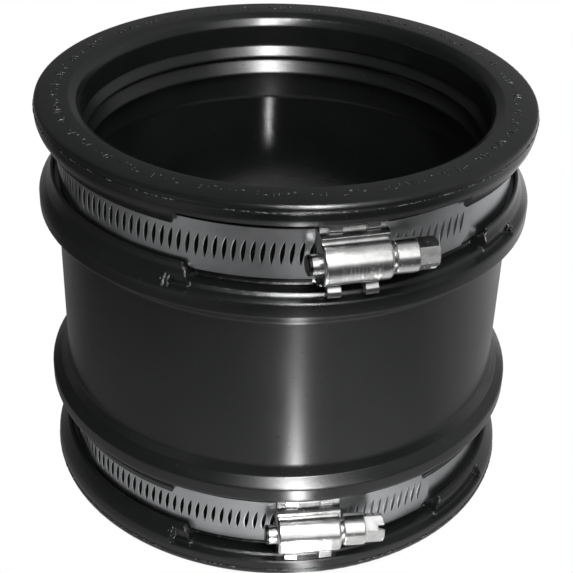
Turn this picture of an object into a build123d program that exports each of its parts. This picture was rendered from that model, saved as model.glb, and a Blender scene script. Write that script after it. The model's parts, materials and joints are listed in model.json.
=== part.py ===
from build123d import *
import math
import os
from typing import NamedTuple

# Flexible pipe coupling: one moulded rubber sleeve and two worm-drive band
# clamps.  Millimetres and degrees.  The origin is on the sleeve's axis at
# mid-length and +Z runs along the axis towards the upper face.  The clamp
# screws are on the -Y side with their hexagon heads pointing to +X.
# Angles about Z are measured from -Y towards +X.  Clamp parts are modelled at
# angle 0 with their mid-plane on z = 0, then turned and lifted into place.

# ------------------------------------------------------ shared dimensions
sleeve_length = 120.0          # face to face
face_z = sleeve_length / 2
groove_offset = 16.15          # groove mid-plane from the face of the sleeve

band_width = 14.2
band_thickness = 0.65
slot_left = 0.75               # how far a band slot's -X edge bows out
slot_right = 0.35              # how far its +X edge bows out

screw_axis_radius = 70.7       # distance of the worm's axis from the sleeve's
nose_radius = 2.7              # screw journal at the -X end
neck_radius = 3.0              # screw journal between worm and collar


class Clamp(NamedTuple):
    side: int              # +1 if the near end of the sleeve is above, -1 if below
    height: float          # z of the mid-plane
    angle: float           # of the housing and screw
    tail_angle: float      # of the band's outer end
    lip_window: tuple      # angles of the window on the end lip's side
    rib_window: tuple      # angles of the window on the rib's side
    ledge: tuple           # angles of the ledge below the clamp
    ledge_floor: float     # depth of the ledge below the mid-plane
    hexagon_turn: float    # hexagon, turned from the inward direction
    driver_turn: float     # screwdriver slot, turned from the inward direction


clamps = {
    "upper": Clamp(
        side=1, height=face_z - groove_offset, angle=15.0, tail_angle=47.6,
        lip_window=(-23.9, 43.7), rib_window=(-21.4, 53.2),
        ledge=(-25.0, 63.0), ledge_floor=11.25,
        hexagon_turn=10.0, driver_turn=55.0),
    "lower": Clamp(
        side=-1, height=-44.1, angle=8.2, tail_angle=43.2,
        lip_window=(-21.8, 46.0), rib_window=(-25.5, 39.5),
        ledge=(-25.0, 64.5), ledge_floor=10.7,
        hexagon_turn=29.4, driver_turn=-39.4),
}


# ---------------------------------------------------------------- helpers
def lines(points):
    """Straight edges joining successive points."""
    return [Line(start, end) for start, end in zip(points, points[1:])]


def polygon(points):
    return make_face(lines(points + points[:1]))


def rounded(corners):
    """Closed face in XZ from (radius, z, corner rounding) triples.  An arc
    takes up at most 0.45 of either neighbouring side."""
    points = [Vector(x, 0, z) for x, z, _ in corners]
    blends = []                # start, middle and end of each corner's arc
    for i, (_, _, rounding) in enumerate(corners):
        corner = points[i]
        if rounding <= 0:
            blends.append((corner, None, corner))
            continue
        to_last = points[i - 1] - corner
        to_next = points[(i + 1) % len(points)] - corner
        last_dir, next_dir = to_last.normalized(), to_next.normalized()
        half_angle = math.acos(last_dir.dot(next_dir)) / 2
        reach = min(rounding / math.tan(half_angle), 0.45 * to_last.length, 0.45 * to_next.length)
        radius = reach * math.tan(half_angle)
        bisector = (last_dir + next_dir).normalized()
        middle = corner + bisector * (radius / math.sin(half_angle) - radius)
        blends.append((corner + last_dir * reach, middle, corner + next_dir * reach))
    edges = []
    for i, (start, middle, end) in enumerate(blends):
        if middle is not None:
            edges.append(ThreePointArc(start, middle, end))
        next_start = blends[(i + 1) % len(blends)][0]
        if (next_start - end).length > 1e-6:
            edges.append(Line(end, next_start))
    return make_face(edges)


def sector(face, start, end):
    """Revolve an XZ face from one angle to another."""
    # The XZ face lies at +X, which is angle 90.
    return revolve(face, Axis.Z, end - start).rotate(Axis.Z, start - 90.0)


def yz_prism(points, x0, x1):
    """Closed (outward radius, z) outline, drawn at Y = -radius, along X."""
    face = polygon([(x0, -r, z) for r, z in points])
    return extrude(face, amount=x1 - x0, dir=(1, 0, 0))


def screw_plane(x):
    """Plane across the screw's axis, with its own x inward and z along +X."""
    return Plane(origin=(x, -screw_axis_radius, 0), x_dir=(0, 1, 0), z_dir=(1, 0, 0))


def x_cylinder(radius, x0, x1):
    """Cylinder on the screw's axis."""
    return extrude(screw_plane(x0) * Circle(radius), amount=x1 - x0, dir=(1, 0, 0))


def place(shape, clamp, angle):
    """Turn a shape about Z and lift it to the clamp's mid-plane."""
    return shape.rotate(Axis.Z, angle).moved(Location((0, 0, clamp.height)))


def single_solid(shape):
    solids = shape.solids()
    assert len(solids) == 1, len(solids)
    return solids[0]


# ----------------------------------------------------------------- sleeve
lip_radius = 71.2              # outer radius of the end lips
rib_radius = 71.45             # outer radius of the ribs beside the barrel
barrel_radius = 66.4           # plain barrel between the ribs
bore_core = 60.2               # inner radius of the barrel
bore_recess = 59.6             # inner radius behind the seal ribs
bore_mouth = 58.4              # cylindrical land at each mouth
seal_crest = 57.5              # crest radius of the two seal ribs at each end
seat_radius = 65.0             # floor of the groove that takes the band
flap_inner = 67.0              # inner radius of the retaining flaps
groove_half = 7.6              # half width of the groove under the flaps
groove_top = groove_offset - groove_half        # depths below the face
groove_bottom = groove_offset + groove_half

pocket_radius = 64.05          # floor of the clamp window
pocket_half = 10.2             # half width of the clamp window
window_outer = 76.0            # the cuts reach out past the sleeve to here
window_taper = 2.5             # length over which a window's end runs out
flap_tip = 7.4                 # flap's free edge from the mid-plane, at a window's end
ledge_radius = 69.0            # inner edge of the ledge cut

# Outside of one end from the face to mid-length: radius, depth below the
# face, corner rounding.
outside = [
    (70.0, 0.0, 0.0), (70.9, 0.3, 0.6), (lip_radius, 1.2, 0.8),
    (lip_radius, 1.95, 0.0), (lip_radius + 0.16, 2.1, 0.0), (lip_radius, 2.25, 0.0),
    (lip_radius, 4.4, 2.0), (70.7, 6.1, 1.0), (69.6, 8.1, 3.0), (68.5, 10.0, 2.0),
    (68.1, 10.65, 0.35), (67.15, 10.65, 0.3), (flap_inner, 10.1, 0.0),
    (flap_inner, groove_top, 0.25), (seat_radius, groove_top, 0.3),
    (seat_radius, groove_bottom, 0.3), (flap_inner, groove_bottom, 0.25),
    (flap_inner, 22.0, 0.0), (67.15, 21.35, 0.3), (67.9, 21.35, 0.4),
    (68.3, 23.4, 2.0), (69.4, 25.4, 1.5), (71.1, 27.3, 0.8),
    (rib_radius, 28.3, 0.8), (rib_radius, 32.1, 1.0),
    (68.6, 34.3, 1.5), (barrel_radius, 36.3, 1.5),
]
# Inside of one end from mid-length to the face, same columns.
inside = [
    (bore_core, 29.0, 0.5), (bore_recess, 28.3, 0.5),
    (bore_recess, 19.95, 0.2), (seal_crest, 19.6, 0.0), (seal_crest, 19.1, 0.0),
    (bore_recess, 15.7, 0.3), (bore_recess, 14.1, 0.2),
    (seal_crest, 13.8, 0.0), (seal_crest, 13.3, 0.0),
    (bore_recess - 0.1, 10.2, 0.0), (bore_mouth, 9.9, 0.0),
    (bore_mouth, 3.4, 1.5), (59.4, 1.2, 1.5), (61.6, 0.0, 1.0),
]
# Window outlines: radius, distance from the clamp's mid-plane, rounding.
window_floor = (pocket_radius, 0.0, 0.0)
window_corner = (pocket_radius, pocket_half, 0.6)
upper_lip_outline = [
    window_floor, (window_outer, 0.0, 0.0), (window_outer, pocket_half, 0.0), window_corner,
]
lower_lip_outline = [
    window_floor, (window_outer, 0.0, 0.0), (window_outer, 10.85, 0.0),
    (68.7, 10.85, 0.3), (68.2, pocket_half, 0.4), window_corner,
]
rib_outline = [
    window_floor, (window_outer, 0.0, 0.0), (window_outer, 11.6, 0.0),
    (71.6, 11.6, 0.3), (68.6, 11.1, 0.3), (68.25, pocket_half, 0.4), window_corner,
]
# Wedge at a window's end: distance into the window, distance from mid-plane.
run_out_outline = [
    (-4.0, flap_tip - 1.8), (0.0, flap_tip - 1.8), (0.25, flap_tip - 0.9),
    (0.9, flap_tip - 0.2), (window_taper, 12.4), (window_taper, 15.0), (-4.0, 15.0),
]


def sleeve_face():
    def upper(points):
        return [(r, face_z - depth, rounding) for r, depth, rounding in points]

    def lower(points):
        return [(r, depth - face_z, rounding) for r, depth, rounding in reversed(points)]

    return rounded(upper(outside) + lower(outside) + lower(inside) + upper(inside))


def run_out(clamp, side, angle, direction):
    """Wedge of rubber left at a window's end, rounding the flap's corner."""
    face = polygon([(direction * x, -82.0, clamp.height + side * z) for x, z in run_out_outline])
    return extrude(face, amount=24.0, dir=(0, 1, 0)).rotate(Axis.Z, angle)


def window_cut(clamp, outline, side, angles):
    """Opening in one retaining flap that leaves room for the housing."""
    face = rounded([(r, clamp.height + side * z, rounding) for r, z, rounding in outline])
    start, end = angles
    cut = sector(face, start, end)
    return cut - run_out(clamp, side, start, 1) - run_out(clamp, side, end, -1)


def ledge_cut(clamp):
    """Shallow ledge that goes on past the window in the flap below the clamp."""
    top = clamp.height - 5.0
    floor = clamp.height - clamp.ledge_floor
    outline = [(ledge_radius, top), (window_outer, top), (window_outer, floor - 0.25),
               (71.6, floor - 0.25), (69.2, floor), (ledge_radius, floor + 0.3)]
    return sector(polygon([(r, 0, z) for r, z in outline]), *clamp.ledge)


def make_sleeve():
    body = revolve(sleeve_face(), Axis.Z, 360)
    for clamp in clamps.values():
        lip_outline = upper_lip_outline if clamp.side > 0 else lower_lip_outline
        body = body - window_cut(clamp, lip_outline, clamp.side, clamp.lip_window)
        body = body - window_cut(clamp, rib_outline, -clamp.side, clamp.rib_window)
        body = body - ledge_cut(clamp)
    return single_solid(body)


# ------------------------------------------------------------------ bands
layer_inner = 65.05            # inner radius of the band lying on the seat
layer_outer = 65.78            # inner radius of the slotted, overlapping layer
climb_start, climb_end = -66.0, -54.0   # the band climbs between the layers
fixed_end_offset = 3.0         # inner end, from the housing's angle

slot_pitch = 2.1               # angle between neighbouring slots
slot_half_height = 3.5
slot_rise = 0.15               # slots lie a little above the middle of the band
slot_tilt = 7.0                # slots lean with the worm's lead angle
slots_start = -112.0           # no slot lies before this angle
slots_tail_gap = 2.0           # no slot lies closer to the tail's end
shallow_start = -60.0          # past here slots leave the inner layer whole

crown_radius = 2.2             # rounded upper corner of the tail
crop_size = 3.4                # cropped lower corner of the tail
cutter_y = -70.0               # tools start here and cut inwards
tail_cut_depth = 4.24          # reaches through the outer layer only


def band_strip(clamp):
    """Plain band.  From its inner end under the housing it goes once round
    on the seat, climbs and ends with the tail on the outer layer."""
    fixed = clamp.angle + fixed_end_offset
    climb_from, climb_to = 360.0 + climb_start, 360.0 + climb_end
    tail = 360.0 + clamp.tail_angle
    middle = (fixed + climb_from) / 2
    inner_top = layer_inner + band_thickness
    outer_top = layer_outer + band_thickness

    def at(radius, angle):
        turn = math.radians(angle)
        return (radius * math.sin(turn), -radius * math.cos(turn))

    def arc(radius, start, end):
        return ThreePointArc(at(radius, start), at(radius, (start + end) / 2), at(radius, end))

    def climb(low, high):
        tangents = [(math.cos(math.radians(angle)), math.sin(math.radians(angle)))
                    for angle in (climb_from, climb_to)]
        halfway = at((low + high) / 2, (climb_from + climb_to) / 2)
        return Spline(at(low, climb_from), halfway, at(high, climb_to), tangents=tangents)

    face = make_face([
        # inner side, from the fixed end round to the tail
        arc(layer_inner, fixed, middle),
        arc(layer_inner, middle, climb_from),
        climb(layer_inner, layer_outer),
        arc(layer_outer, climb_to, tail),
        Line(at(layer_outer, tail), at(outer_top, tail)),
        # outer side, back again
        arc(outer_top, climb_to, tail),
        climb(inner_top, outer_top),
        arc(inner_top, middle, climb_from),
        arc(inner_top, fixed, middle),
        Line(at(layer_inner, fixed), at(inner_top, fixed)),
    ])
    strip = extrude(face, amount=band_width, dir=(0, 0, 1))
    return strip.moved(Location((0, 0, clamp.height - band_width / 2)))


def slot_cutter():
    """Crescent opening through the band, leaning with the worm."""
    tilt = math.radians(slot_tilt)

    def at(x, z):
        return (x * math.cos(tilt) + z * math.sin(tilt), cutter_y,
                slot_rise - x * math.sin(tilt) + z * math.cos(tilt))

    top, bottom = at(0, slot_half_height), at(0, -slot_half_height)
    left = ThreePointArc(top, at(-slot_left, 0), bottom)
    right = ThreePointArc(bottom, at(slot_right, 0), top)
    return extrude(make_face([left, right]), amount=6.0, dir=(0, 1, 0))


def tail_crop():
    """Triangle off the lower corner of the tail, whose end is at x = 0."""
    overhang = 0.2
    bottom = -band_width / 2
    face = polygon([
        (overhang, cutter_y, bottom - overhang), (overhang, cutter_y, bottom + crop_size),
        (-crop_size, cutter_y, bottom - overhang)])
    return extrude(face, amount=tail_cut_depth, dir=(0, 1, 0))


def tail_crown():
    """Tool that rounds the upper corner of the tail."""
    overhang = 0.3
    top = band_width / 2
    low = top - crown_radius
    inset = crown_radius * (1 - math.sqrt(0.5))
    face = make_face([
        *lines([(overhang, cutter_y, top + overhang), (overhang, cutter_y, low),
                (0, cutter_y, low)]),
        ThreePointArc((0, cutter_y, low), (-inset, cutter_y, top - inset),
                      (-crown_radius, cutter_y, top)),
        *lines([(-crown_radius, cutter_y, top), (-crown_radius, cutter_y, top + overhang),
                (overhang, cutter_y, top + overhang)]),
    ])
    return extrude(face, amount=tail_cut_depth, dir=(0, 1, 0))


def make_band(clamp):
    tools = [place(tail_crop(), clamp, clamp.tail_angle),
             place(tail_crown(), clamp, clamp.tail_angle)]
    inner_guard = Pos(0, 0, clamp.height) * Cylinder(
        layer_inner + band_thickness + 0.02, band_width + 2)
    cutter = slot_cutter()
    # slots are in step with the worm at the housing angle
    first = -int((clamp.angle - slots_start) / slot_pitch)
    last = int((clamp.tail_angle - slots_tail_gap - clamp.angle) / slot_pitch)
    for i in range(first, last + 1):
        angle = clamp.angle + i * slot_pitch
        tool = place(cutter, clamp, angle)
        tools.append(tool - inner_guard if angle > shallow_start else tool)
    return single_solid(band_strip(clamp) - tools)


# ---------------------------------------------------------------- housing
housing_half = 8.75            # half length of the housing's flanges
dome_left = 9.4                # the dome is longer on the -X side
dome_right = 8.4
dome_inner = 4.85
dome_outer = 5.6
dome_rounding = 0.8
channel_radius = 66.85         # underside of the housing flanges
flange_radius = 67.9           # outside of the housing flanges
flange_half = 9.1              # half width of the flanges along Z
flange_bevel_r = 0.8           # bevel along the flange edges, radially
flange_bevel_z = 1.0           # the same bevel along Z
end_wall = 1.2                 # wall at each end of the worm's tunnel
journal_clearance = 0.25       # around the screw where it leaves the housing
throat_half = 5.6              # half width of the opening towards the band
throat_top = 69.4              # outer radius of that opening
flute_count = 11               # shallow flutes pressed over the dome
flute_pitch = 1.0
flute_half = 0.2
flute_depth = 0.18
flute_band = (6.0, 5.8)        # the flutes' extent along Y and Z

# Lower half of the shoulders' outline: radius, distance from mid-plane.
shoulder_half = [(65.2, 7.2), (67.6, 7.2), (67.95, 7.15), (69.9, 6.95), (70.45, 6.65), (70.65, 5.6)]


def make_housing():
    half_angle = math.degrees(math.asin(housing_half / flange_radius)) + 2
    bevel_r = flange_radius - flange_bevel_r
    bevel_z = flange_half - flange_bevel_z
    outline = [(channel_radius, -flange_half), (bevel_r, -flange_half), (flange_radius, -bevel_z),
               (flange_radius, bevel_z), (bevel_r, flange_half), (channel_radius, flange_half)]
    flange = sector(polygon([(r, 0, z) for r, z in outline]), -half_angle, half_angle)
    flange = flange & Box(2 * housing_half, 200, 40)

    shoulder_outline = [(r, -z) for r, z in shoulder_half] + shoulder_half[::-1]
    shoulder = yz_prism(shoulder_outline, -housing_half - 0.25, housing_half - 0.15)
    dome = x_cylinder(dome_outer, -dome_left, dome_right)
    dome = fillet(dome.edges(), dome_rounding)
    body = shoulder + dome
    body = body + flange
    body = body - Cylinder(channel_radius, 60)

    # the worm's tunnel, open towards the band, and its two end holes
    body = body - x_cylinder(dome_inner, -dome_left + end_wall, dome_right - end_wall)
    throat = [(60, -throat_half), (throat_top, -throat_half),
              (throat_top, throat_half), (60, throat_half)]
    body = body - yz_prism(throat, -housing_half + 0.9, housing_half - 1.2)
    body = body - x_cylinder(nose_radius + journal_clearance, -dome_left - 1, -dome_left + 2)
    body = body - x_cylinder(neck_radius + journal_clearance, dome_right - 2, dome_right + 1)

    for i in range(flute_count):
        x = (i - (flute_count - 1) / 2) * flute_pitch
        ring = x_cylinder(dome_outer + 1, x - flute_half, x + flute_half)
        ring = ring - x_cylinder(dome_outer - flute_depth, x - 1, x + 1)
        limit = Box(2, *flute_band).moved(Location((x, -screw_axis_radius - 4.9, -1.3)))
        body = body - (ring & limit)
    return single_solid(body)


# ----------------------------------------------------------------- saddle
saddle_inner = 64.2
saddle_outer = 64.9
saddle_half_length = 9.0
saddle_half_width = 9.2        # along Z
tab_half = 1.75                # half length of a tab along X
tab_angle = math.degrees(4.75 / 67.0)   # tabs lie this far either side of the middle

# Tab outlines: radius, distance from mid-plane.
upper_tab = [
    (64.3, 8.7), (64.3, 9.4), (64.65, 9.85), (65.2, 9.95), (68.0, 9.95),
    (68.5, 9.75), (68.75, 9.2), (68.7, 7.4), (68.05, 7.4), (68.02, 9.0),
    (67.9, 9.25), (65.4, 9.25), (65.0, 9.1), (64.85, 8.7),
]
lower_tab = [
    (64.3, 8.7), (64.3, 9.4), (64.65, 9.9), (65.2, 10.0), (68.1, 10.0),
    (68.9, 10.55), (70.3, 10.7), (70.6, 10.45), (70.65, 9.15), (70.45, 8.7),
    (69.65, 7.75), (69.1, 8.1), (69.85, 9.2), (69.85, 9.75), (69.6, 9.95),
    (69.1, 9.9), (68.2, 9.35), (65.4, 9.3), (65.0, 9.1), (64.85, 8.7),
]


def make_saddle():
    """Strap under the band with four tabs folded over the housing flanges."""
    half_angle = math.degrees(math.asin(saddle_half_length / saddle_inner))
    strap = polygon([
        (saddle_inner, 0, -saddle_half_width), (saddle_outer, 0, -saddle_half_width),
        (saddle_outer, 0, saddle_half_width), (saddle_inner, 0, saddle_half_width)])
    body = sector(strap, -half_angle, half_angle)
    for angle in (-tab_angle, tab_angle):
        for outline, side in ((upper_tab, 1), (lower_tab, -1)):
            tab = yz_prism([(r, side * z) for r, z in outline], -tab_half, tab_half)
            body = body + tab.rotate(Axis.Z, angle)
    return single_solid(body)


# ------------------------------------------------------------------ screw
# Stations along the screw's axis are x values at angle 0.
nose_end = 12.6                # the nose ends at x = -nose_end
screw_chamfer = 0.3            # on the nose and collar
collar_radius = 4.55
collar_start = 9.35
collar_end = 15.4
hex_across_flats = 7.3
hex_end = 21.0
driver_width = 1.3             # screwdriver slot
driver_depth = 2.0
worm_major = 4.5
worm_core = 3.3
worm_pitch = 2.4245            # one band slot per turn
worm_half_length = 6.6
worm_turns = 5
thread_tip = 0.24              # half thickness of the thread at its crest
thread_root = 0.60             # half thickness of the thread below the core
thread_sink = 0.3              # how far the thread's root is sunk in the core


def screw_head(clamp):
    """Hexagon with a turned crown on its end and a screwdriver slot."""
    overlap = 0.1              # runs into the collar
    hexagon = RegularPolygon(hex_across_flats / math.sqrt(3), 6, rotation=clamp.hexagon_turn)
    head = extrude(screw_plane(collar_end - overlap) * hexagon,
                   amount=hex_end - collar_end + overlap, dir=(1, 0, 0))
    back = collar_end - 0.2
    crown_start = hex_end - 1.3
    envelope = make_face([
        *lines([(back, 0, 0), (back, 5.0, 0), (crown_start, 5.0, 0), (crown_start, 4.3, 0)]),
        ThreePointArc((crown_start, 4.3, 0), (hex_end - 0.42, 3.9, 0), (hex_end, 2.85, 0)),
        *lines([(hex_end, 2.85, 0), (hex_end, 0, 0), (back, 0, 0)]),
    ])
    axis_point = (0, -screw_axis_radius, 0)
    head = head & revolve(envelope, Axis.X, 360).moved(Location(axis_point))
    slot = Box(driver_depth * 2, 12, driver_width)
    slot = slot.moved(Location((hex_end, -screw_axis_radius, 0)))
    return head - slot.rotate(Axis(axis_point, (1, 0, 0)), clamp.driver_turn)


def worm_thread():
    """Right-hand thread, swept about Z and then laid on the screw's axis."""
    length = worm_turns * worm_pitch
    path = Helix(worm_pitch, length, worm_core)
    crest = worm_major - worm_core
    profile = Plane(origin=path @ 0, x_dir=(1, 0, 0), z_dir=path % 0) * polygon([
        (-thread_sink, -thread_root), (crest, -thread_tip),
        (crest, thread_tip), (-thread_sink, thread_root)])
    thread = sweep(profile, path=path, is_frenet=True)
    # the turn brings mid-length to the band side, in the middle of a slot
    thread = thread.moved(Location((0, 0, -length / 2))).rotate(Axis.Z, 180.0 * worm_turns)
    return thread.moved(screw_plane((slot_right - slot_left) / 2).location)


def make_screw(clamp):
    core = x_cylinder(nose_radius, -nose_end, -worm_half_length)
    nose_edges = core.edges().filter_by(lambda edge: abs(edge.center().X + nose_end) < 1e-6)
    core = chamfer(nose_edges, screw_chamfer)
    core = core + x_cylinder(worm_core, -worm_half_length - 0.6, worm_half_length + 0.3)
    core = core + x_cylinder(neck_radius, worm_half_length, collar_start + 0.5)
    collar = x_cylinder(collar_radius, collar_start, collar_end)
    collar = chamfer(collar.edges(), screw_chamfer)
    body = core + collar + screw_head(clamp)
    return single_solid(body + worm_thread())


# --------------------------------------------------------------- assembly
parts = {"sleeve": make_sleeve()}
housing = make_housing()
saddle = make_saddle()
for name, clamp in clamps.items():
    parts[name + "_band"] = make_band(clamp)
    parts[name + "_housing"] = place(housing, clamp, clamp.angle)
    parts[name + "_saddle"] = place(saddle, clamp, clamp.angle)
    parts[name + "_screw"] = place(make_screw(clamp), clamp, clamp.angle)

os.makedirs("parts", exist_ok=True)
for node, shape in parts.items():
    export_step(shape, "parts/" + node + ".step")
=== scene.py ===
"""A black rubber sleeve with a steel band clamp round each end.

The sleeve stands upright and centred on Z, its end faces at z = -60 and +60 mm. The front
is -Y. Angles round the sleeve are in degrees from -Y towards +X. The raised pieces are
measured in millimetres; the materials, stage, lights and camera in metres.
"""
import json
import math
import random

import bmesh
import bpy
from mathutils import Matrix, Vector

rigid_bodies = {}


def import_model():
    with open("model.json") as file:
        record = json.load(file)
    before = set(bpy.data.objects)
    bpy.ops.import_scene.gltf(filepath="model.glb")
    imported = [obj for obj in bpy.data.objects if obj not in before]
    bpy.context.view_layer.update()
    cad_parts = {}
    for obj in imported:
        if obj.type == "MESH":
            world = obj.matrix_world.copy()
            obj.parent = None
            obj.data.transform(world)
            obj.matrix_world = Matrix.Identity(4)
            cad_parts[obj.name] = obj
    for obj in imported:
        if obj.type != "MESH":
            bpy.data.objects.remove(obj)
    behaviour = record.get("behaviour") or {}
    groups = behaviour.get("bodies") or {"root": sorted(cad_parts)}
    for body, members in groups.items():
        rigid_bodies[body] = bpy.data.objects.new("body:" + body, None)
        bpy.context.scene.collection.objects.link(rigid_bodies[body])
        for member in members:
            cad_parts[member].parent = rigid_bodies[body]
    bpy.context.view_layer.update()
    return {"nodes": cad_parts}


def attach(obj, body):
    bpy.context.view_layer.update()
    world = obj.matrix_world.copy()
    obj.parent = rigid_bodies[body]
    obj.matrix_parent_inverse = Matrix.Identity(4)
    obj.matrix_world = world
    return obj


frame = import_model()
rng = random.Random(7)
scene = bpy.context.scene

MM = 0.001
FACE = 60.0                       # half length of the sleeve
# clamp: (angle of the screw's middle, height of the band's middle, angle of the band's tail)
CLAMPS = {"upper": (15.0, 43.85, 47.6), "lower": (8.2, -44.1, 43.2)}


# --------------------------------------------------------------- node helpers
def feed(tree, target, inputs):
    """Links or sets inputs of a node, given as {input: socket or value}."""
    for key, value in inputs.items():
        if isinstance(value, bpy.types.NodeSocket):
            tree.links.new(value, target.inputs[key])
        else:
            target.inputs[key].default_value = value


def add_node(tree, kind, inputs, **settings):
    new = tree.nodes.new(kind)
    for key, value in settings.items():
        setattr(new, key, value)
    feed(tree, new, inputs)
    return new


def fresh_tree(owner, output_kind):
    """An emptied node tree and its output node, for a material or a world."""
    owner.use_nodes = True
    tree = owner.node_tree
    tree.nodes.clear()
    return tree, tree.nodes.new(output_kind)


def new_material(name):
    mat = bpy.data.materials.new(name)
    tree, output = fresh_tree(mat, "ShaderNodeOutputMaterial")
    bsdf = tree.nodes.new("ShaderNodeBsdfPrincipled")
    tree.links.new(bsdf.outputs[0], output.inputs[0])
    return mat, tree, bsdf


def maths(tree, operation, a, b=0.0):
    return add_node(tree, "ShaderNodeMath", {0: a, 1: b}, operation=operation).outputs[0]


def ramp(tree, source, stops):
    """Grey ramp through (position, value) stops."""
    new = tree.nodes.new("ShaderNodeValToRGB")
    elements = new.color_ramp.elements
    while len(elements) < len(stops):
        elements.new(0.5)
    for element, (position, value) in zip(elements, stops):
        element.position = position
        element.color = (value, value, value, 1)
    tree.links.new(source, new.inputs[0])
    return new.outputs[0]


def coords(tree, kind="Object"):
    return tree.nodes.new("ShaderNodeTexCoord").outputs[kind]


def split(tree, vector):
    return tuple(add_node(tree, "ShaderNodeSeparateXYZ", {0: vector}).outputs)


def scaled(tree, vector, scale=(1, 1, 1)):
    return add_node(tree, "ShaderNodeMapping", {"Scale": scale, 0: vector}).outputs[0]


def cylindrical(tree, radius=0.068):
    """Coordinates (arc length round Z, height, 0) in metres."""
    x, y, z = split(tree, coords(tree))
    arc = maths(tree, "MULTIPLY", maths(tree, "ARCTAN2", y, x), radius)
    return add_node(tree, "ShaderNodeCombineXYZ", {0: arc, 1: z}).outputs[0]


def axis_distance(tree, x, y):
    x_squared = maths(tree, "MULTIPLY", x, x)
    y_squared = maths(tree, "MULTIPLY", y, y)
    return maths(tree, "SQRT", maths(tree, "ADD", x_squared, y_squared))


def noise(tree, vector, scale, detail, rough, distortion=0.0):
    return add_node(tree, "ShaderNodeTexNoise", {
        "Scale": scale, "Detail": detail, "Roughness": rough, "Distortion": distortion,
        "Vector": vector}).outputs[0]


def ripple(tree, texture, amount):
    """A 0..1 texture turned into a swing of `amount` about zero."""
    return maths(tree, "MULTIPLY", maths(tree, "SUBTRACT", texture, 0.5), amount)


def bump(tree, normal, height, strength, distance):
    return add_node(tree, "ShaderNodeBump", {
        "Strength": strength, "Distance": distance, "Height": height,
        "Normal": normal}).outputs[0]


def soft_edge(tree, radius):
    return add_node(tree, "ShaderNodeBevel", {"Radius": radius}, samples=4).outputs[0]


def mix_colour(tree, factor, a, b):
    """Colour a (a tuple or a socket) going to colour b (a tuple) as factor rises."""
    start = (*a, 1) if isinstance(a, tuple) else a
    return add_node(tree, "ShaderNodeMix", {6: start, 7: (*b, 1), 0: factor},
                    data_type="RGBA").outputs[2]


def vector_maths(tree, operation, inputs):
    return add_node(tree, "ShaderNodeVectorMath", inputs, operation=operation).outputs[0]


# ------------------------------------------------------------------ materials
RIB_FOOT_Z = (0.0228, 0.0262)     # depths below the middle between which the rib's foot lies
RIB_FOOT_RADIUS = 0.066
# (distance outside RIB_FOOT_RADIUS in units of 10 mm, strength)
RIB_FOOT_REACH = [(0.03, 0.0), (0.06, 1.0), (0.245, 1.0), (0.275, 0.0)]
RIB_FOOT_TURN = 1.35              # how far the normal leans outwards
BORE_RADIUS, BORE_TOP = 0.0612, 0.031
BORE_POLISH = 0.62                # share of the roughness lost in the bore
SCREW_TIP_SHADE = -0.0116              # where the painted shade on the screw's tip starts, along its axis


def root_fillet(tree, normal):
    """Turns the shading of the lower rib's foot outwards, as a hollow fillet does."""
    x, y, z = split(tree, coords(tree))
    beyond = maths(tree, "SUBTRACT", axis_distance(tree, x, y), RIB_FOOT_RADIUS)
    reach = ramp(tree, maths(tree, "MULTIPLY", beyond, 100.0), RIB_FOOT_REACH)
    top, bottom = RIB_FOOT_Z
    under_top = maths(tree, "GREATER_THAN", maths(tree, "MULTIPLY", z, -1.0), top)
    over_bottom = maths(tree, "LESS_THAN", maths(tree, "MULTIPLY", z, -1.0), bottom)
    here = maths(tree, "MULTIPLY", maths(tree, "MULTIPLY", reach, under_top), over_bottom)
    flat = add_node(tree, "ShaderNodeCombineXYZ", {0: x, 1: y}).outputs[0]
    outwards = vector_maths(tree, "NORMALIZE", {0: flat})
    turn = maths(tree, "MULTIPLY", here, RIB_FOOT_TURN)
    lean = vector_maths(tree, "SCALE", {0: outwards, "Scale": turn})
    total = vector_maths(tree, "ADD", {0: normal, 1: lean})
    return vector_maths(tree, "NORMALIZE", {0: total})


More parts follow.
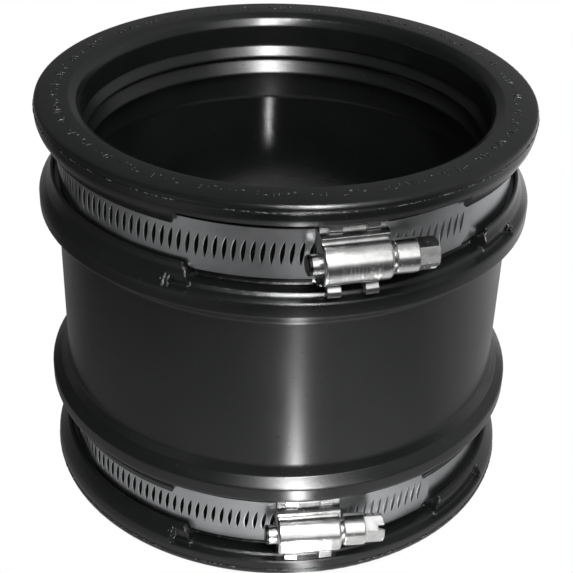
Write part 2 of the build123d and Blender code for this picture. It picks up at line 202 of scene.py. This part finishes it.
def rubber_material(name="rubber_moulded", bloom_and_glint=0.0):
    """Black moulded rubber; bloom adds pale colour to raised marks: scuffing plus painted
    glints.
    """
    mat, tree, bsdf = new_material(name)
    place = scaled(tree, coords(tree))
    # long streaks round the sleeve
    streaks = noise(tree, scaled(tree, cylindrical(tree), scale=(60, 2600, 1)),
                    scale=1.0, detail=2.0, rough=0.6)
    cloud = noise(tree, place, scale=38, detail=4.0, rough=0.6, distortion=0.4)
    grain = noise(tree, place, scale=5200, detail=2.0, rough=0.6)
    dust = noise(tree, place, scale=900, detail=2.0, rough=0.5)

    tone = ramp(tree, cloud, [(0.30, 0.0), (0.75, 1.0)])
    colour = mix_colour(tree, tone, a=(0.0085, 0.0092, 0.0094), b=(0.0125, 0.0131, 0.0133))
    specks = ramp(tree, dust, [(0.68, 0.0), (0.78, 1.0)])
    colour = mix_colour(tree, maths(tree, "MULTIPLY", specks, 0.30), colour,
                        b=(0.060, 0.060, 0.058))
    if bloom_and_glint > 0:
        # pale patches on raised marks: partly scuffing, partly painted glints standing in for
        # highlights on their edges
        scuff_and_glint = ramp(tree, noise(tree, place, scale=1300, detail=2.0, rough=0.6),
                     [(0.40, 0.0), (0.66, 1.0)])
        colour = mix_colour(tree, maths(tree, "MULTIPLY", scuff_and_glint, bloom_and_glint), colour,
                            b=(0.50, 0.52, 0.52))

    rough = ramp(tree, cloud, [(0.25, 0.19), (0.80, 0.27)])
    streak_rough = ripple(tree, streaks, amount=0.06)
    # the bore is smoother than the outside
    x, y, z = split(tree, coords(tree))
    inside = maths(tree, "LESS_THAN", axis_distance(tree, x, y), BORE_RADIUS)
    bore = maths(tree, "MULTIPLY", inside, maths(tree, "LESS_THAN", z, BORE_TOP))
    polish = maths(tree, "SUBTRACT", 1.0, maths(tree, "MULTIPLY", bore, BORE_POLISH))
    rough = maths(tree, "MULTIPLY", maths(tree, "ADD", rough, streak_rough), polish)

    normal = root_fillet(tree, soft_edge(tree, radius=0.0008))
    normal = bump(tree, normal, streaks, strength=0.06, distance=0.00008)
    normal = bump(tree, normal, cloud, strength=0.08, distance=0.0008)
    normal = bump(tree, normal, grain, strength=0.08, distance=0.00004)
    feed(tree, bsdf, {"Base Color": colour, "Roughness": rough, "IOR": 1.50,
                      "Specular IOR Level": 0.5, "Normal": normal})
    return mat


def band_material():
    """Rolled steel strip, with fine lines running round the band."""
    mat, tree, bsdf = new_material("band_steel_rolled")
    lines = noise(tree, scaled(tree, cylindrical(tree), scale=(45, 5200, 1)),
                  scale=1.0, detail=3.0, rough=0.65)
    cloud = noise(tree, scaled(tree, coords(tree)), scale=120, detail=4.0, rough=0.6)
    tone = ramp(tree, cloud, [(0.3, 0.0), (0.8, 1.0)])
    colour = mix_colour(tree, tone, a=(0.44, 0.45, 0.46), b=(0.56, 0.57, 0.58))
    rough = maths(tree, "ADD", ramp(tree, cloud, [(0.2, 0.27), (0.85, 0.36)]),
                  ripple(tree, lines, amount=0.12))
    normal = soft_edge(tree, radius=0.00012)
    normal = bump(tree, normal, lines, strength=0.16, distance=0.00005)
    feed(tree, bsdf, {"Base Color": colour, "Metallic": 1.0, "Roughness": rough,
                      "Normal": normal})
    return mat


def pressed_material(name, dark, light, rough_range, edge_radius, screw_angle=None):
    """Cloudy bright steel; screw_angle adds painted shade: the screw's tip coloured near
    black.
    """
    mat, tree, bsdf = new_material(name)
    place = scaled(tree, coords(tree))
    cloud = noise(tree, place, scale=260, detail=4.0, rough=0.6, distortion=0.6)
    fine = noise(tree, scaled(tree, coords(tree), scale=(900, 900, 3200)),
                 scale=1.0, detail=2.0, rough=0.6)
    pits = noise(tree, place, scale=2600, detail=2.0, rough=0.5)

    tone = ramp(tree, cloud, [(0.3, 0.0), (0.75, 1.0)])
    colour = mix_colour(tree, tone, dark, light)
    if screw_angle is not None:
        # the screw lies along the tangent at its own angle
        x, y, _ = split(tree, coords(tree))
        turn = math.radians(screw_angle)
        along = maths(tree, "ADD", maths(tree, "MULTIPLY", x, math.cos(turn)),
                      maths(tree, "MULTIPLY", y, math.sin(turn)))
        # painted shade: the screw's tip is coloured near black, standing in for its dark
        # reflection
        tip_shade = maths(tree, "LESS_THAN", along, SCREW_TIP_SHADE)
        colour = mix_colour(tree, tip_shade, colour, b=(0.045, 0.045, 0.045))

    smooth, dull = rough_range
    rough = maths(tree, "ADD", ramp(tree, cloud, [(0.2, smooth), (0.85, dull)]),
                  ripple(tree, fine, amount=0.10))
    normal = soft_edge(tree, edge_radius)
    normal = bump(tree, normal, cloud, strength=0.05, distance=0.00030)
    normal = bump(tree, normal, fine, strength=0.10, distance=0.00004)
    normal = bump(tree, normal, ramp(tree, pits, [(0.66, 0.0), (0.74, 1.0)]),
                  strength=0.08, distance=0.00004)
    feed(tree, bsdf, {"Base Color": colour, "Metallic": 1.0, "Roughness": rough,
                      "Normal": normal})
    return mat


BRIGHT = {"dark": (0.60, 0.60, 0.595), "light": (0.76, 0.76, 0.755)}
RUBBER = rubber_material()
# the marks' rubber: pale scuffing plus painted glints
SCUFFED_GLINT_RUBBER = rubber_material("rubber_scuffed", bloom_and_glint=0.65)
BAND = band_material()
PRESSED = pressed_material("pressed_steel_bright", **BRIGHT,
                           rough_range=(0.19, 0.29), edge_radius=0.00022)
BURR = pressed_material("band_burr_bright", dark=(0.82, 0.82, 0.82), light=(0.93, 0.93, 0.93),
                        rough_range=(0.30, 0.44), edge_radius=0.00010)
SCREWS = {side: pressed_material("screw_zinc_" + side, **BRIGHT, rough_range=(0.19, 0.30),
                                 edge_radius=0.00020, screw_angle=clamp[0])
          for side, clamp in CLAMPS.items()}


# ----------------------------------------------------------------- CAD pieces
def smooth_by_angle(name, angle):
    """Geometry nodes that shade smooth across edges up to `angle` degrees."""
    tree = bpy.data.node_groups.new(name, "GeometryNodeTree")
    for direction in ("INPUT", "OUTPUT"):
        tree.interface.new_socket("Geometry", in_out=direction,
                                  socket_type="NodeSocketGeometry")
    group_in = tree.nodes.new("NodeGroupInput")
    group_out = tree.nodes.new("NodeGroupOutput")
    bend = tree.nodes.new("GeometryNodeInputMeshEdgeAngle")
    gentle = add_node(tree, "FunctionNodeCompare",
                      {0: bend.outputs[0], 1: math.radians(angle)},
                      data_type="FLOAT", operation="LESS_EQUAL")
    faces = add_node(tree, "GeometryNodeSetShadeSmooth", {"Geometry": group_in.outputs[0]},
                     domain="FACE")
    edges = add_node(tree, "GeometryNodeSetShadeSmooth",
                     {"Geometry": faces.outputs[0], "Shade Smooth": gentle.outputs[0]},
                     domain="EDGE")
    tree.links.new(edges.outputs[0], group_out.inputs[0])
    return tree


def dress(ob, mat, angle=28):
    """Material and smooth shading with sharp edges kept; the mesh itself stays."""
    ob.data.materials.clear()
    ob.data.materials.append(mat)
    weld = ob.modifiers.new("weld", "WELD")
    weld.merge_threshold = 2e-6
    ob.data.polygons.foreach_set("use_smooth", [True] * len(ob.data.polygons))
    group = smooth_by_angle("smooth_by_angle_" + ob.name, angle)
    ob.modifiers.new("smooth", "NODES").node_group = group


parts = frame["nodes"]
dress(parts["sleeve"], RUBBER)
for side in CLAMPS:
    dress(parts[side + "_band"], BAND, angle=30)
    dress(parts[side + "_housing"], PRESSED)
    dress(parts[side + "_saddle"], PRESSED)
    dress(parts[side + "_screw"], SCREWS[side])


# -------------------------------------------------------------- raised pieces
def mesh_object(name, bm, mat, body):
    mesh = bpy.data.meshes.new(name)
    bmesh.ops.recalc_face_normals(bm, faces=bm.faces)
    bm.to_mesh(mesh)
    bm.free()
    mesh.materials.append(mat)
    mesh.polygons.foreach_set("use_smooth", [True] * len(mesh.polygons))
    mesh.set_sharp_from_angle(angle=math.radians(35))
    ob = bpy.data.objects.new(name, mesh)
    scene.collection.objects.link(ob)
    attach(ob, body)


def polar(radius, angle, z):
    turn = math.radians(angle)
    return Vector((radius * math.sin(turn), -radius * math.cos(turn), z)) * MM


def outward(angle):
    return polar(1, angle, 0).normalized()


def ridge(bm, path, normals, half, height, sink=0.05):
    """A closed half-round ridge along a path; both ends taper into the surface."""
    rings = []
    last = len(path) - 1
    for i, (point, normal) in enumerate(zip(path, normals)):
        along = (path[min(i + 1, last)] - path[max(i - 1, 0)]).normalized()
        across = along.cross(normal).normalized()
        taper = {0: 0.35, 1: 0.8}.get(min(i, last - i), 1.0)
        ring = []
        for angle in (0, 45, 90, 135, 180):
            c, s = math.cos(math.radians(angle)), math.sin(math.radians(angle))
            ring.append(bm.verts.new(point + across * (c * half * taper * MM)
                                     + normal * (s * height * taper * MM)))
        # the foot, sunk below the surface
        ring.append(bm.verts.new(point - across * (half * taper * MM) - normal * (sink * MM)))
        ring.append(bm.verts.new(point + across * (half * taper * MM) - normal * (sink * MM)))
        rings.append(ring)
    for a, b in zip(rings, rings[1:]):
        count = len(a)
        for j in range(count):
            bm.faces.new((a[j], a[(j + 1) % count], b[(j + 1) % count], b[j]))
    bm.faces.new(rings[0][::-1])
    bm.faces.new(rings[-1])


FACE_MARK_RADIUS = 64.3           # inner end of the marks
FACE_MARK_END = 178.0             # angle at which the marks stop


def face_marks(name, z, normal):
    """Raised moulding marks round an end face: plain bars and pips in groups."""
    bm = bmesh.new()
    angle = -180.0
    while angle < FACE_MARK_END:
        for _ in range(rng.randint(3, 8)):
            kind = rng.random()
            inner = FACE_MARK_RADIUS + rng.uniform(-0.15, 0.15)
            length = rng.choice((1.2, 2.1, 2.6))
            half, height = rng.uniform(0.26, 0.34) * 0.5, 0.28
            if kind < 0.5:                        # radial bar
                lean = rng.uniform(-0.5, 0.5)
                path = [polar(inner + length * t, angle + lean * t, z)
                        for t in (0, 0.25, 0.5, 0.75, 1)]
            elif kind < 0.72:                     # pip
                middle = polar(inner + rng.uniform(0.4, 2.0), angle, z)
                tangent = polar(1, angle + 90, 0)
                path = [middle + tangent * (t * 0.55) for t in (-0.5, -0.2, 0, 0.2, 0.5)]
                half, height = 0.24, 0.30
            else:                                 # short bar round the face
                radius = inner + rng.choice((0.3, 1.2, 2.2))
                path = [polar(radius, angle + t, z) for t in (-0.45, -0.2, 0, 0.2, 0.45)]
            ridge(bm, path, [normal] * 5, half, height)
            angle += rng.uniform(1.25, 1.75)
            if angle > FACE_MARK_END:
                break
        angle += rng.uniform(1.6, 3.4)
    # drawn in the pale rubber: scuffing plus painted glints
    mesh_object(name, bm, SCUFFED_GLINT_RUBBER, "sleeve")


LIP_RADIUS = 71.30
FLASH_Z = FACE - 2.1


def lip_flash(name, z):
    """Rough flash left along the mould's parting line on a lip."""
    bm = bmesh.new()
    start = -180.0
    while start < 179.0:
        run = rng.uniform(0.5, 3.2)
        if rng.random() < 0.72:
            count = max(5, int(run / 0.3))
            path, normals = [], []
            for i in range(count):
                angle = start + run * i / (count - 1)
                path.append(polar(LIP_RADIUS + rng.uniform(-0.03, 0.05), angle,
                                  z + rng.uniform(-0.07, 0.07)))
                normals.append(outward(angle))
            ridge(bm, path, normals, half=0.16, height=0.10)
        start += run + rng.uniform(0.1, 1.0)
    # drawn in the pale rubber: the flash is real, its speckle is painted glints
    mesh_object(name, bm, SCUFFED_GLINT_RUBBER, "sleeve")


# name: groups of ticks as (angle, (radius, z) of the inner end, (radius, z) of the outer end)
# raised pale ticks along the window ends: painted glints of their edges
TICK_GROUPS = {
    "upper_insert_ticks": ((-25.0, (68.9, 35.4), (71.2, 32.4)),
                           (63.0, (68.9, 35.4), (70.6, 33.4))),
    "lower_insert_ticks": ((-25.0, (68.7, -50.3), (70.5, -53.4)),
                           (64.5, (68.6, -50.2), (69.9, -52.2))),
}
# ticks of a group: (angle from the group's, start and end as shares of its length)
TICKS = ((0.0, 0.0, 1.0), (0.9, 0.15, 0.5), (1.1, 0.6, 0.95), (-0.8, 0.45, 0.6))


def end_glint_ticks(name, groups):
    """Short raised lines in pale rubber at the ends of the clamp windows: a painted glint of
    the ends' edges.
    """
    bm = bmesh.new()
    for group_angle, (r0, z0), (r1, z1) in groups:
        tilt = Vector((0, 0, 0.6 if z0 > 0 else -0.6))
        for offset, start, end in TICKS:
            path, normals = [], []
            for i in range(6):
                t = start + (end - start) * i / 5
                angle = group_angle + offset + rng.uniform(-0.10, 0.10)
                path.append(polar(r0 + (r1 - r0) * t, angle, z0 + (z1 - z0) * t))
                normals.append((outward(angle) + tilt).normalized())
            ridge(bm, path, normals, half=0.22, height=0.20, sink=0.3)
    mesh_object(name, bm, SCUFFED_GLINT_RUBBER, "sleeve")


SLOT_PITCH = 2.1                  # degrees
SLOT_TILT = math.radians(7.0)
SLOT_HALF = 3.5                   # half the height of a slot
SLOT_BOW = 0.75                   # how far a slot's edge bows
SLOT_EDGE_RADIUS = (SLOT_BOW ** 2 + SLOT_HALF ** 2) / (2 * SLOT_BOW)
FIRST_SLOT = -112.0               # angle
TAIL_MARGIN = 2.0                 # degrees kept free at the band's tail
CLIMB = (-66.0, -54.0)            # angles between which the band climbs onto itself
SINGLE_RADIUS, OUTER_RADIUS = 65.70, 66.43
BAND_RADIUS = 66.4                # turns arc length into angle


def slot_burrs(side, screw_angle, middle_z, tail_angle):
    """The raised burr that the punch leaves along one edge of every slot."""
    bm = bmesh.new()
    first = -int((screw_angle - FIRST_SLOT) / SLOT_PITCH)
    last = int((tail_angle - TAIL_MARGIN - screw_angle) / SLOT_PITCH)
    for n in range(first, last + 1):
        slot_angle = screw_angle + n * SLOT_PITCH
        if CLIMB[0] <= slot_angle <= CLIMB[1]:
            continue
        radius = OUTER_RADIUS if slot_angle > CLIMB[1] else SINGLE_RADIUS
        path, normals = [], []
        for i in range(9):
            # the upright bowed edge, then turned by the slot's tilt
            rise = (-1 + 2 * i / 8) * SLOT_HALF * 0.97
            reach = math.sqrt(max(SLOT_EDGE_RADIUS ** 2 - rise ** 2, 0))
            edge = -(reach - (SLOT_EDGE_RADIUS - SLOT_BOW)) - 0.13
            arc = edge * math.cos(SLOT_TILT) + rise * math.sin(SLOT_TILT)
            z = 0.15 - edge * math.sin(SLOT_TILT) + rise * math.cos(SLOT_TILT)
            angle = slot_angle + math.degrees(arc / BAND_RADIUS)
            path.append(polar(radius - 0.01, angle, middle_z + z))
            normals.append(outward(angle))
        ridge(bm, path, normals, half=0.15, height=0.15)
    mesh_object(side + "_band_burrs", bm, BURR, side + "_band")


for side, sign in (("upper", 1), ("lower", -1)):
    face_marks(side + "_face_marks", sign * FACE, Vector((0, 0, sign)))
for side, sign in (("upper", 1), ("lower", -1)):
    lip_flash(side + "_lip_flash", sign * FLASH_Z)
for name, groups in TICK_GROUPS.items():
    end_glint_ticks(name, groups)
for side, clamp in CLAMPS.items():
    slot_burrs(side, *clamp)


# ---------------------------------------------------------------------- stage
FLOOR_HALF, FLOOR_CELLS = 3.0, 24
FLOOR_GAP = 0.00035               # between the sleeve and the floor
REACH = 0.30                      # distance at which the floor's ramps end
# reflected brightness of the floor round the object, as (angle, value), in three rings
NEAR = [(-180, 0.26), (-90, 0.15), (-45, 0.36), (-12, 0.64), (8, 0.80), (30, 0.80),
        (60, 0.42), (120, 0.42), (180, 0.28)]
FAR = [(-180, 0.40), (-100, 0.035), (-40, 0.06), (-13, 0.10), (-2, 0.30), (7, 0.46),
       (20, 0.22), (50, 0.14), (80, 0.42), (105, 0.60), (140, 0.80), (180, 0.45)]
OUTER = [(-180, 0.45), (-110, 0.06), (-74, 0.12), (-52, 0.30), (-38, 0.40), (-28, 0.22),
         (-18, 0.16), (-8, 0.015), (6, 0.03), (20, 0.06), (58, 0.06), (70, 0.16),
         (86, 0.42), (105, 0.60), (140, 0.80), (180, 0.45)]
# the lamp's streak on the floor: (distance in front of the axis, strength)
STREAK = [(0.068, 0.0), (0.076, 0.22), (0.092, 0.25), (0.106, 1.0), (0.114, 1.0),
          (0.126, 0.55), (0.141, 0.20), (0.158, 0.08), (0.20, 0.02)]
STREAK_X, STREAK_Y = 0.0090, -0.0663      # a point on its middle line
STREAK_SLOPE, STREAK_HALF, STREAK_POWER = 0.1175, 0.0036, 54.0


def azimuth(tree, x, y):
    """Angle round Z from -Y towards +X, as 0..1 with the front at 0.5."""
    turn = maths(tree, "ARCTAN2", x, maths(tree, "MULTIPLY", y, -1.0))
    return maths(tree, "ADD", maths(tree, "DIVIDE", turn, 2 * math.pi), 0.5)


def turn_ramp(tree, source, stops):
    """Values round Z, given as (degrees, value) from -180 to 180."""
    return ramp(tree, source, [((angle + 180.0) / 360.0, value) for angle, value in stops])


def reach_ramp(tree, distance, stops):
    """Values along a distance, given as (metres, value) up to REACH."""
    return ramp(tree, maths(tree, "DIVIDE", distance, REACH),
                [(metres / REACH, value) for metres, value in stops])


def gaussian(tree, value, centre, sigma):
    t = maths(tree, "DIVIDE", maths(tree, "SUBTRACT", value, centre), sigma)
    exponent = maths(tree, "MULTIPLY", maths(tree, "MULTIPLY", t, t), -1.0)
    return maths(tree, "POWER", math.e, exponent)


def mix_value(tree, factor, a, b):
    """a where factor is 0, b where it is 1."""
    kept = maths(tree, "MULTIPLY", a, maths(tree, "SUBTRACT", 1.0, factor))
    return maths(tree, "ADD", kept, maths(tree, "MULTIPLY", b, factor))


def ray_switch(tree, camera, other):
    path = tree.nodes.new("ShaderNodeLightPath")
    return add_node(tree, "ShaderNodeMixShader", {
        0: path.outputs["Is Camera Ray"], 1: other, 2: camera}).outputs[0]


def emission(tree, strength):
    return add_node(tree, "ShaderNodeEmission",
                    {"Color": (1, 1, 1, 1), "Strength": strength}).outputs[0]


def floor_material():
    mat = bpy.data.materials.new("floor_pale")
    tree, output = fresh_tree(mat, "ShaderNodeOutputMaterial")
    x, y, _ = split(tree, coords(tree))
    angle = azimuth(tree, x, y)
    distance = axis_distance(tree, x, y)
    near = turn_ramp(tree, angle, NEAR)
    far = turn_ramp(tree, angle, FAR)
    glow = mix_value(tree, reach_ramp(tree, distance, [(0.125, 0.0), (0.205, 1.0)]), near, far)
    rim = reach_ramp(tree, distance, [(0.205, 0.0), (0.232, 1.0)])
    glow = mix_value(tree, rim, glow, turn_ramp(tree, angle, OUTER))
    # the lamp's own reflection on the floor, seen only in glossy surfaces
    drift = maths(tree, "MULTIPLY", maths(tree, "ADD", y, -STREAK_Y), -STREAK_SLOPE)
    across = gaussian(tree, x, maths(tree, "ADD", STREAK_X, drift), STREAK_HALF)
    along = reach_ramp(tree, maths(tree, "MULTIPLY", y, -1.0), STREAK)
    path = tree.nodes.new("ShaderNodeLightPath")
    hot = maths(tree, "MULTIPLY", maths(tree, "MULTIPLY", across, along),
                maths(tree, "MULTIPLY", path.outputs["Is Glossy Ray"], STREAK_POWER))
    glow = maths(tree, "ADD", glow, hot)
    # seen directly the floor is plain white with a faint contact shade
    contact = add_node(tree, "ShaderNodeAmbientOcclusion", {"Distance": 0.014}, samples=8)
    shade = ramp(tree, contact.outputs["AO"], [(0.0, 0.86), (0.45, 1.0), (0.9, 1.0)])
    surface = ray_switch(tree, emission(tree, shade), emission(tree, glow))
    tree.links.new(surface, output.inputs[0])
    return mat


def stage_floor():
    bm = bmesh.new()
    z = -FACE * MM - FLOOR_GAP
    steps = [-FLOOR_HALF + 2 * FLOOR_HALF * i / FLOOR_CELLS for i in range(FLOOR_CELLS + 1)]
    rows = [[bm.verts.new((x, y, z)) for x in steps] for y in steps]
    for a, b in zip(rows, rows[1:]):
        for j in range(FLOOR_CELLS):
            bm.faces.new((a[j], a[j + 1], b[j + 1], b[j]))
    mesh = bpy.data.meshes.new("floor")
    bm.to_mesh(mesh)
    bm.free()
    mesh.materials.append(floor_material())
    ob = bpy.data.objects.new("floor", mesh)
    scene.collection.objects.link(ob)


stage_floor()

# --------------------------------------------------------------------- lights
METAL_WORDS = ("band", "housing", "saddle", "screw")
lit = {kind: bpy.data.collections.new("lit_" + kind) for kind in ("metal", "rubber")}
for ob in list(scene.objects):
    if ob.type == "MESH" and ob.name != "floor":
        metal = any(word in ob.name for word in METAL_WORDS)
        lit["metal" if metal else "rubber"].objects.link(ob)


def area(name, location, target, width, height, radiance, highlights_on=None):
    """A panel that gives only highlights, on one kind of piece, or only diffuse light."""
    light = bpy.data.lights.new(name, "AREA")
    light.shape = "RECTANGLE"
    light.size, light.size_y = width, height
    light.energy = radiance * math.pi * width * height
    ob = bpy.data.objects.new(name, light)
    ob.location = location
    aim = Vector(target) - Vector(location)
    ob.rotation_euler = aim.to_track_quat("-Z", "Y").to_euler()
    scene.collection.objects.link(ob)
    ob.visible_camera = False
    ob.visible_glossy = highlights_on is not None
    ob.visible_diffuse = highlights_on is None
    if highlights_on:
        ob.light_linking.receiver_collection = lit[highlights_on]


def lamp(name, angle, elevation, distance, **panel):
    """A panel aimed at the origin from an angle and elevation in degrees."""
    a, e = math.radians(angle), math.radians(elevation)
    location = (distance * math.sin(a) * math.cos(e), -distance * math.cos(a) * math.cos(e),
                distance * math.sin(e))
    area(name, location, target=(0, 0, 0), **panel)


# the soft key lights all pieces; the tall box and its hot core give the rubber's highlights
lamp("key_soft", angle=12.0, elevation=60, distance=1.3,
     width=0.60, height=0.70, radiance=7.0)
lamp("key_box", angle=12.0, elevation=38, distance=1.3,
     width=0.36, height=1.20, radiance=9.0, highlights_on="rubber")
lamp("key_core", angle=12.5, elevation=43, distance=1.25,
     width=0.17, height=0.95, radiance=42.0, highlights_on="rubber")
lamp("metal_strip", angle=6.6, elevation=54, distance=1.3,
     width=0.10, height=0.80, radiance=22.0, highlights_on="metal")
lamp("metal_box", angle=12.0, elevation=60, distance=1.3,
     width=0.60, height=0.40, radiance=9.0, highlights_on="metal")
area("bore_strip", location=(0.0148, -0.052, -0.033), target=(-0.0082, 0.0596, 0.020),
     width=0.0014, height=0.017, radiance=40.0, highlights_on="rubber")

# ---------------------------------------------------------------------- world
# brightness of the room as (angle, value)
ROOM = [(-180, 0.16), (-120, 0.05), (-60, 0.07), (-20, 0.12), (50, 0.20), (80, 0.38),
        (110, 0.46), (150, 0.28), (180, 0.18)]
# a bright panel to the front right: spread round Z, spread in elevation, and brightness
PANEL_TURN = [(4, 0.0), (16, 1.0), (38, 1.0), (52, 0.0)]
PANEL_RISE = [(9, 0.0), (17, 1.0), (80, 1.0), (88, 0.25)]
PANEL_POWER = 1.45


def studio_world():
    """Plain white to the camera; the room and its panel to every other ray."""
    world = bpy.data.worlds.new("studio")
    scene.world = world
    tree, output = fresh_tree(world, "ShaderNodeOutputWorld")
    x, y, z = split(tree, coords(tree, "Generated"))
    angle = azimuth(tree, x, y)
    elevation = maths(tree, "ARCSINE", z)
    room = turn_ramp(tree, angle, ROOM)
    turn = turn_ramp(tree, angle, PANEL_TURN)
    rise = ramp(tree, maths(tree, "DIVIDE", elevation, math.pi / 2),
                [(degrees / 90, value) for degrees, value in PANEL_RISE])
    panel = maths(tree, "MULTIPLY", maths(tree, "MULTIPLY", turn, rise), PANEL_POWER)
    sky = maths(tree, "ADD", room, panel)
    white = {"Color": (1, 1, 1, 1)}
    seen = add_node(tree, "ShaderNodeBackground", white)
    reflected = add_node(tree, "ShaderNodeBackground", {**white, "Strength": sky})
    surface = ray_switch(tree, seen.outputs[0], reflected.outputs[0])
    tree.links.new(surface, output.inputs[0])


studio_world()

# --------------------------------------------------------------------- camera
CAM_DISTANCE = 0.3659             # from the middle of the upper face
CAM_ELEVATION = 0.4003            # radians above that face
CAM_DIP = 0.1556                  # extra downward pitch, radians
CAM_YAW, CAM_ROLL = 0.0056, 0.0332        # radians


def camera():
    data = bpy.data.cameras.new("camera")
    data.sensor_width = 36.0
    data.lens = 79.8408377
    data.shift_x, data.shift_y = -0.00068062827, 0.000052356021
    data.clip_start, data.clip_end = 0.01, 20.0
    ob = bpy.data.objects.new("camera", data)
    scene.collection.objects.link(ob)
    sight = Vector((0, math.cos(CAM_ELEVATION), -math.sin(CAM_ELEVATION)))
    location = Vector((0, 0, FACE * MM)) - sight * CAM_DISTANCE
    pitch = CAM_ELEVATION + CAM_DIP
    view = Vector((math.sin(CAM_YAW) * math.cos(pitch), math.cos(CAM_YAW) * math.cos(pitch),
                   -math.sin(pitch)))
    right = view.cross(Vector((0, 0, 1))).normalized()
    up = right.cross(view)
    c, s = math.cos(CAM_ROLL), math.sin(CAM_ROLL)
    turned = Matrix((right * c + up * s, -right * s + up * c, -view)).transposed()
    ob.matrix_world = Matrix.Translation(location) @ turned.to_4x4()
    scene.camera = ob


camera()
scene.view_settings.view_transform = "Standard"
